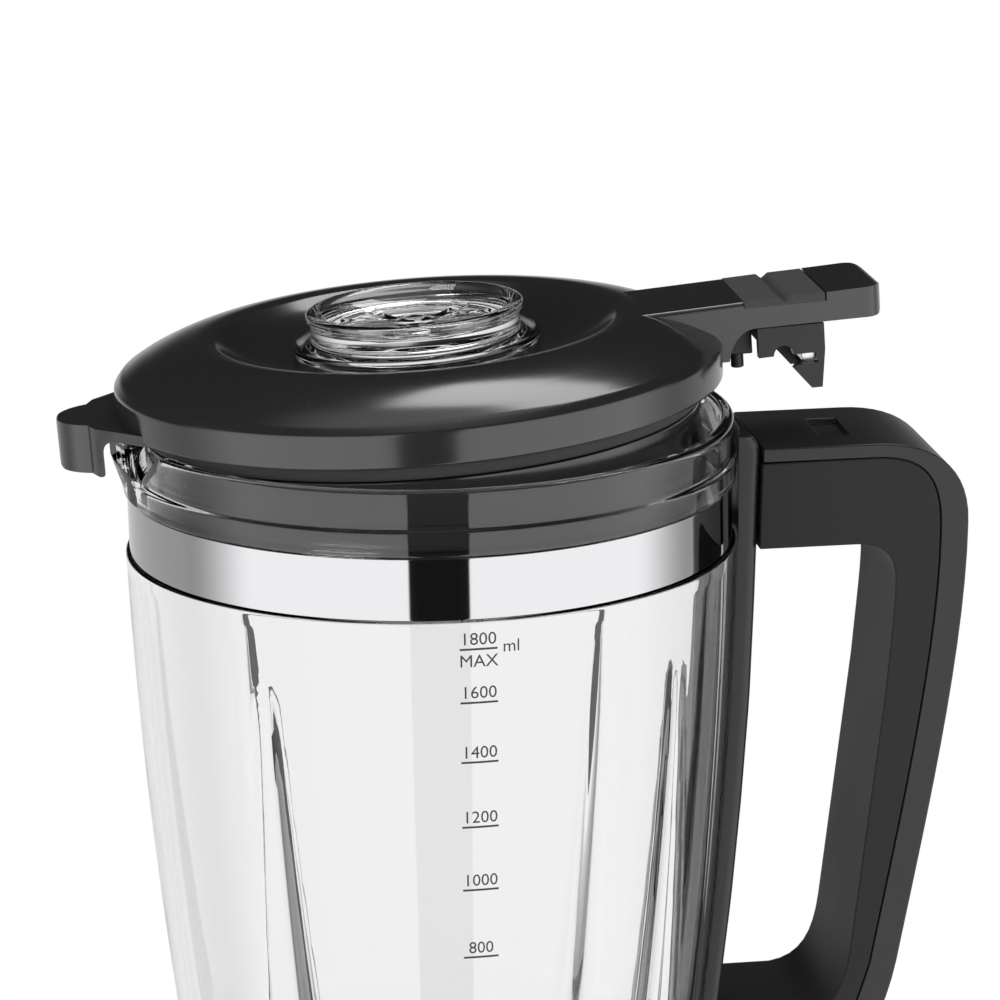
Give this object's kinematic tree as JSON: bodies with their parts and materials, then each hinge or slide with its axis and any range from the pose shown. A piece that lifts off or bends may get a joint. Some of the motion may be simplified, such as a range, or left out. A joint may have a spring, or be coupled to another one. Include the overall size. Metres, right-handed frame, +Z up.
{
  "type": "countertop blender",
  "caption": "Countertop blender with a clear fluted glass jug, polished steel band, hooked black lid, filler cap and loop handle on a square motor base.",
  "frame": {"origin": "middle of the bounding box's footprint, at the height of the surface that the feet stand on", "axes": "+Z up, +X from the jug's axis towards the handle, -Y towards the controls and the measuring marks"},
  "size_m": [0.2114, 0.2044, 0.3976],
  "materials": {
    "brushed_steel_housing": "fine vertical brushing, satin",
    "black_gloss": "smooth glossy moulded plastic",
    "black_satin": "satin moulded plastic",
    "black_matte": "fine-grained matte plastic",
    "rubber": "matte rubber",
    "polished_steel": "mirror polished",
    "satin_steel": "satin turned steel",
    "laminated_steel": "stacked laminations and pressed steel",
    "copper": "varnished copper",
    "board": "coated circuit board",
    "carbon": "moulded brush holder",
    "clear_glass": "clear pressed glass",
    "clear_plastic": "clear moulded plastic"
  },
  "bodies": {
    "base": {"base_housing": "brushed_steel_housing", "base_deck": "black_satin", "bottom_cover": "black_matte", "foot_1": "rubber", "foot_2": "rubber", "foot_3": "rubber", "foot_4": "rubber", "control_panel": "black_gloss", "knob_ring": "polished_steel", "dial_switch": "black_matte", "circuit_board": "board", "jug_sensor": "black_matte", "cord_gland": "rubber", "motor_stator": "laminated_steel", "winding_upper": "copper", "winding_lower": "copper", "motor_bracket_upper": "laminated_steel", "motor_bracket_lower": "laminated_steel", "bearing_upper": "polished_steel", "bearing_lower": "polished_steel", "brush_holder_left": "carbon", "brush_holder_right": "carbon"},
    "rotor": {"motor_shaft": "polished_steel", "armature": "laminated_steel", "commutator": "copper", "cooling_fan": "black_matte", "drive_coupling": "black_matte"},
    "knob": {"speed_knob": "black_satin"},
    "pulse_key": {"button_pulse": "satin_steel"},
    "ice_key": {"button_ice": "satin_steel"},
    "smoothie_key": {"button_smoothie": "satin_steel"},
    "jug": {"jug_glass": "clear_glass", "steel_band": "polished_steel", "jug_spine": "black_satin", "handle_shell": "black_satin", "handle_grip": "black_satin", "handle_screw_1": "satin_steel", "handle_screw_2": "satin_steel", "jug_collar": "black_satin", "jug_magnet": "satin_steel", "blade_holder": "satin_steel", "jug_gasket": "rubber", "blade_bush": "satin_steel"},
    "blades": {"blade_shaft": "polished_steel", "blade_lower": "polished_steel", "blade_upper": "polished_steel", "blade_nut": "polished_steel", "driven_coupling": "black_matte"},
    "lid": {"lid_shell": "black_gloss", "lid_plug": "black_gloss", "lid_seal": "rubber", "lid_arm": "black_gloss", "arm_pad": "black_matte", "latch_pin": "polished_steel", "lid_peg": "black_satin"},
    "latch": {"latch_hook": "black_satin", "hook_strip": "polished_steel"},
    "cap": {"filler_cap": "clear_plastic"}
  },
  "joints": [
    {"name": "jug_lift", "type": "slide", "parent": "base", "child": "jug", "axis": [0, 0, 1], "range_m": [0, 0.12]},
    {"name": "motor_spin", "type": "hinge", "parent": "base", "child": "rotor", "pos_m": [-0.0177, -0.00016, 0.1], "axis": [0, 0, 1], "continuous": true},
    {"name": "blade_spin", "type": "hinge", "parent": "jug", "child": "blades", "pos_m": [-0.0177, -0.00016, 0.19], "axis": [0, 0, 1], "continuous": true},
    {"name": "knob_turn", "type": "hinge", "parent": "base", "child": "knob", "pos_m": [-0.0177, -0.08225, 0.07599], "axis": [0, -0.9966, 0.0819], "range_deg": [-270, 0]},
    {"name": "pulse_press", "type": "slide", "parent": "base", "child": "pulse_key", "axis": [0, 0.9966, -0.0819], "range_m": [0, 0.0015], "stiffness_N_per_m": 300, "springref_m": -0.002},
    {"name": "ice_press", "type": "slide", "parent": "base", "child": "ice_key", "axis": [0, 0.9966, -0.0819], "range_m": [0, 0.0015], "stiffness_N_per_m": 300, "springref_m": -0.002},
    {"name": "smoothie_press", "type": "slide", "parent": "base", "child": "smoothie_key", "axis": [0, 0.9966, -0.0819], "range_m": [0, 0.0015], "stiffness_N_per_m": 300, "springref_m": -0.002},
    {"name": "lid_tilt", "type": "hinge", "parent": "jug", "child": "lid", "pos_m": [-0.0957, -0.00016, 0.367], "axis": [0, -1, 0], "range_deg": [-3.4, 12]},
    {"name": "latch_swing", "type": "hinge", "parent": "lid", "child": "latch", "pos_m": [0.07015, -0.00016, 0.39132], "axis": [0, -1, 0], "range_deg": [0, 7], "stiffness_Nm_per_rad": 0.6, "springref_deg": -5.73},
    {"name": "cap_lift", "type": "slide", "parent": "lid", "child": "cap", "axis": [-0.0551, 0, 0.9985], "range_m": [0, 0.05]}
  ],
  "couplings": [
    {"joint": "blade_spin", "follows": "motor_spin", "ratio": 1}
  ]
}
